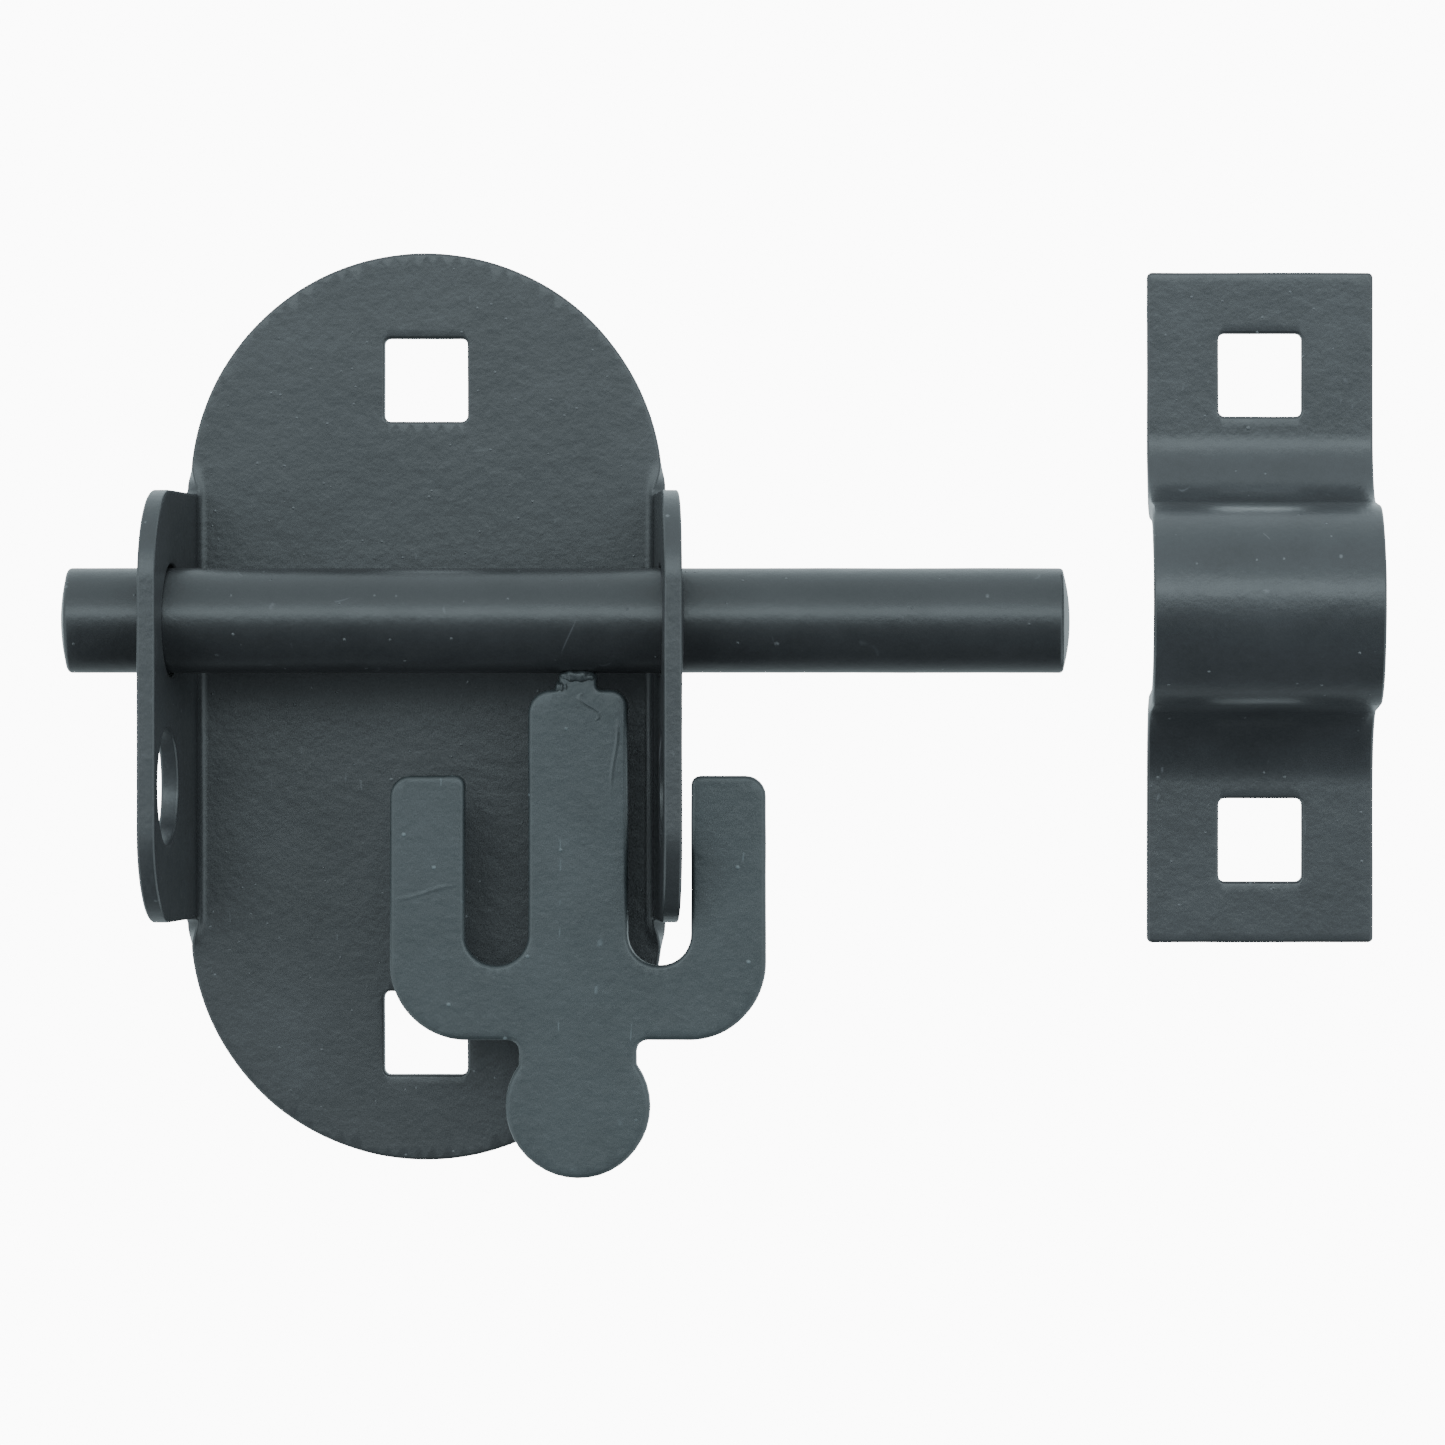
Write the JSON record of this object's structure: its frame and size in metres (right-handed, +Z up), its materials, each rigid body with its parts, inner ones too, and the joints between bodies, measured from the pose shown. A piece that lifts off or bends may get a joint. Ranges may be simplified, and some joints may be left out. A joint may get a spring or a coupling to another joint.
{
  "type": "oval pad bolt with keeper",
  "caption": "Black oval pad bolt for a gate: bent oval plate, round sliding bolt with a pronged turn-down handle, and a strap keeper.",
  "frame": {"origin": "centre of the oval plate's rear face, where it lies on the gate", "axes": "+X along the bolt towards the keeper, +Y into the gate, +Z up; the front faces -Y"},
  "size_m": [0.1294, 0.0261, 0.0916],
  "materials": {
    "plate_coat": "satin black powder coat",
    "bolt_coat": "satin black powder coat",
    "handle_coat": "satin black powder coat",
    "weld_coat": "rough weld bead under black powder coat",
    "keeper_coat": "satin black powder coat"
  },
  "bodies": {
    "plate": {"back_plate": "plate_coat"},
    "bolt": {"bolt_rod": "bolt_coat"},
    "handle": {"handle_plate": "handle_coat", "handle_weld": "weld_coat"},
    "keeper": {"keeper_strap": "keeper_coat"}
  },
  "joints": [
    {"name": "bolt_slide", "type": "slide", "parent": "plate", "child": "bolt", "axis": [1, 0, 0], "range_m": [-0.0004, 0.0014]},
    {"name": "handle_turn", "type": "hinge", "parent": "bolt", "child": "handle", "pos_m": [0.0159, -0.0165, 0.0084], "axis": [-1, 0, 0], "range_deg": [-14.5, 195]},
    {"name": "keeper_set", "type": "slide", "parent": "plate", "child": "keeper", "axis": [-1, 0, 0], "range_m": [0, 0.03]}
  ]
}
